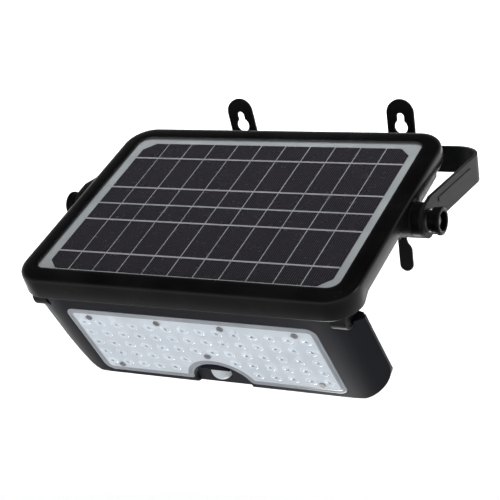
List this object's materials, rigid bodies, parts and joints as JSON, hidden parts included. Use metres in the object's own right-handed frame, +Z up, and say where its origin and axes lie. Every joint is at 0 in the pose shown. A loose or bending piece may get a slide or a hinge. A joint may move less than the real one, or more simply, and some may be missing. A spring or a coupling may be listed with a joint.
{
  "type": "solar flood light",
  "caption": "Wall-mounted solar flood light: framed solar panel tilting in a U-shaped bracket, with a hinged LED head carrying a domed lens and a motion sensor.",
  "frame": {"origin": "wall face, midway between the keyhole head holes of the two hanging plates", "axes": "+Z up, +Y into the wall, +X to the right seen from the front"},
  "size_m": [0.3088, 0.2483, 0.1569],
  "materials": {
    "bracket_steel": "black powder coat, satin",
    "plate_steel": "black powder coat",
    "zinc_steel": "zinc plated",
    "hub_plastic": "fine texture",
    "knob_plastic": "satin",
    "housing_plastic": "fine spark texture",
    "head_plastic": "fine spark texture",
    "cover_glass": "clear",
    "silicon": "dark mono silicon",
    "ribbon": "tinned",
    "backsheet_white": "matte",
    "seal": "matte",
    "brass": "turned",
    "battery": "shrink sleeve",
    "board_green": "solder mask",
    "component_black": "moulded",
    "button_rubber": "matte",
    "lens_clear": "lightly frosted",
    "board_white": "white solder mask",
    "led": "phosphor",
    "dome_white": "milky",
    "dark_screw": "blackened"
  },
  "bodies": {
    "bracket": {"u_bracket": "bracket_steel", "wall_plate_left": "plate_steel", "wall_plate_right": "plate_steel", "plate_spacers": "plate_steel", "plate_rivets": "zinc_steel", "hub_ring_left": "hub_plastic", "hub_ring_right": "hub_plastic", "clamp_washers": "zinc_steel"},
    "panel": {"panel_frame": "housing_plastic", "panel_glass": "cover_glass", "solar_cells": "silicon", "cell_ribbons": "ribbon", "backsheet": "backsheet_white", "panel_gasket": "seal", "rear_housing": "housing_plastic", "hub_inserts": "brass", "housing_screws": "zinc_steel", "battery_cradle": "component_black", "battery_cells": "battery", "charge_board": "board_green", "board_parts": "component_black", "switch_collar": "hub_plastic", "switch_body": "component_black"},
    "head": {"head_shell": "head_plastic", "head_cover": "head_plastic", "head_gasket": "seal", "cover_screws": "zinc_steel", "hinge_pins": "zinc_steel", "lens_cover": "lens_clear", "lens_seal": "seal", "lens_screws": "dark_screw", "led_board": "board_white", "led_chips": "led", "pir_dome": "dome_white", "pir_sensor": "zinc_steel", "pir_board": "board_green", "sensor_screws": "zinc_steel"},
    "clamp_left": {"knob_left": "knob_plastic", "stud_left": "dark_screw"},
    "clamp_right": {"knob_right": "knob_plastic", "stud_right": "dark_screw"},
    "button": {"power_button": "button_rubber"}
  },
  "joints": [
    {"name": "panel_tilt", "type": "hinge", "parent": "bracket", "child": "panel", "pos_m": [0, -0.13434, -0.02442], "axis": [1, 0, 0], "range_deg": [-60, 45]},
    {"name": "head_swing", "type": "hinge", "parent": "panel", "child": "head", "pos_m": [0, -0.23036, -0.05681], "axis": [1, 0, 0], "range_deg": [-29.6, 75.4]},
    {"name": "knob_left_turn", "type": "hinge", "parent": "bracket", "child": "clamp_left", "pos_m": [-0.14, -0.13434, -0.02442], "axis": [1, 0, 0], "continuous": true},
    {"name": "knob_right_turn", "type": "hinge", "parent": "bracket", "child": "clamp_right", "pos_m": [0.14, -0.13434, -0.02442], "axis": [1, 0, 0], "continuous": true},
    {"name": "button_press", "type": "slide", "parent": "panel", "child": "button", "axis": [0, -0.274, 0.9617], "range_m": [0, 0.0012], "stiffness_N_per_m": 400, "springref_m": -0.002}
  ]
}
